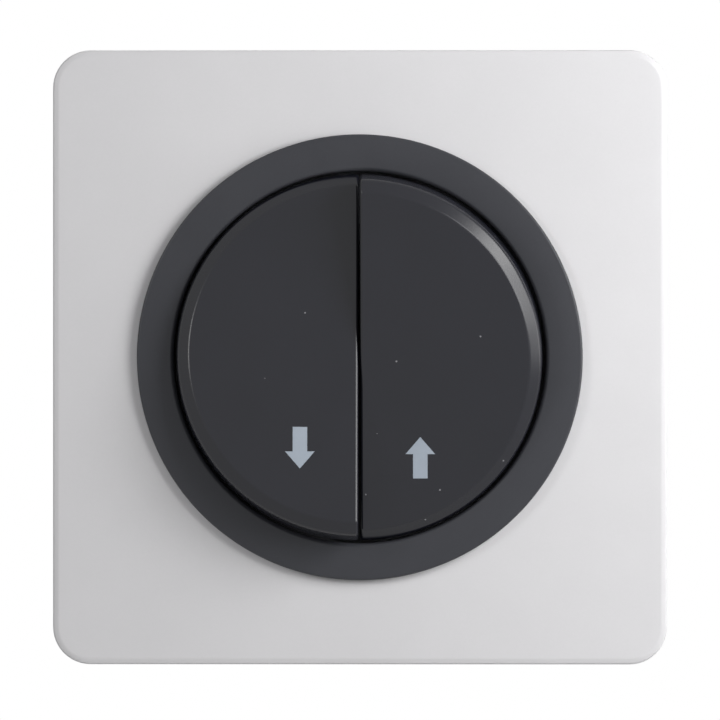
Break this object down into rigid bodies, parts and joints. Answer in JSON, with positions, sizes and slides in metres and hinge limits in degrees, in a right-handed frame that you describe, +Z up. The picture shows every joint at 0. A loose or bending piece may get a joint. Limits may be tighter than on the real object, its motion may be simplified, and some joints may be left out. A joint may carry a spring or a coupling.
{
  "type": "roller shutter switch",
  "caption": "Flush wall switch for a roller shutter: half-round latching rockers with down and up arrows in a dark round trim ring on a square white cover plate.",
  "frame": {"origin": "centre of the wall plane that the support frame's back and the cover plate's rim lie on", "axes": "+Y into the wall, +Z up, +X to the right as seen from the room"},
  "size_m": [0.082, 0.0365, 0.082],
  "materials": {
    "plate": "satin moulded white",
    "anthracite": "fine satin anthracite",
    "zinc": "zinc plated",
    "housing": "moulded light grey",
    "lever": "natural moulded",
    "brass": "rolled",
    "silver": "silver contact",
    "steel": "bright"
  },
  "bodies": {
    "insert": {"cover_plate": "plate", "trim_ring": "anthracite", "support_frame": "zinc", "mechanism_cover": "housing", "base_housing": "housing", "housing_screw_1": "steel", "housing_screw_2": "steel", "housing_screw_3": "steel", "housing_screw_4": "steel", "supply_strip": "brass", "link_strip": "brass", "contact_strip_down": "brass", "contact_strip_up": "brass", "fixed_contact_down_work": "silver", "fixed_contact_down_rest": "silver", "fixed_contact_up_work": "silver", "fixed_contact_up_rest": "silver", "terminal_down": "brass", "terminal_up": "brass", "terminal_supply": "brass", "terminal_screw_down": "steel", "terminal_screw_up": "steel", "terminal_screw_supply": "steel"},
    "rocker_down_body": {"rocker_down": "anthracite", "lever_down": "lever", "plunger_spring_down": "steel"},
    "rocker_up_body": {"rocker_up": "anthracite", "lever_up": "lever", "plunger_spring_up": "steel"},
    "plunger_down_body": {"plunger_down": "brass"},
    "plunger_up_body": {"plunger_up": "brass"},
    "seesaw_down_body": {"seesaw_down": "brass", "moving_contact_down_work": "silver", "moving_contact_down_rest": "silver"},
    "seesaw_up_body": {"seesaw_up": "brass", "moving_contact_up_work": "silver", "moving_contact_up_rest": "silver"}
  },
  "joints": [
    {"name": "rocker_down_swing", "type": "hinge", "parent": "insert", "child": "rocker_down_body", "pos_m": [-0.012, -0.0093, 0], "axis": [1, 0, 0], "range_deg": [0, 16]},
    {"name": "rocker_up_swing", "type": "hinge", "parent": "insert", "child": "rocker_up_body", "pos_m": [0.012, -0.0093, 0], "axis": [1, 0, 0], "range_deg": [-16, 0]},
    {"name": "plunger_down_slide", "type": "slide", "parent": "rocker_down_body", "child": "plunger_down_body", "axis": [0, 0.9903, -0.1392], "range_m": [0, 0.00035]},
    {"name": "plunger_up_slide", "type": "slide", "parent": "rocker_up_body", "child": "plunger_up_body", "axis": [0, 0.9903, 0.1392], "range_m": [0, 0.00035]},
    {"name": "seesaw_down_rock", "type": "hinge", "parent": "insert", "child": "seesaw_down_body", "pos_m": [-0.012, 0.00628, 0], "axis": [1, 0, 0], "range_deg": [-12.8, 0]},
    {"name": "seesaw_up_rock", "type": "hinge", "parent": "insert", "child": "seesaw_up_body", "pos_m": [0.012, 0.00628, 0], "axis": [1, 0, 0], "range_deg": [0, 12.8]}
  ],
  "couplings": [
    {"joint": "seesaw_down_rock", "follows": "rocker_down_swing", "ratio": -0.8},
    {"joint": "seesaw_up_rock", "follows": "rocker_up_swing", "ratio": -0.8}
  ]
}
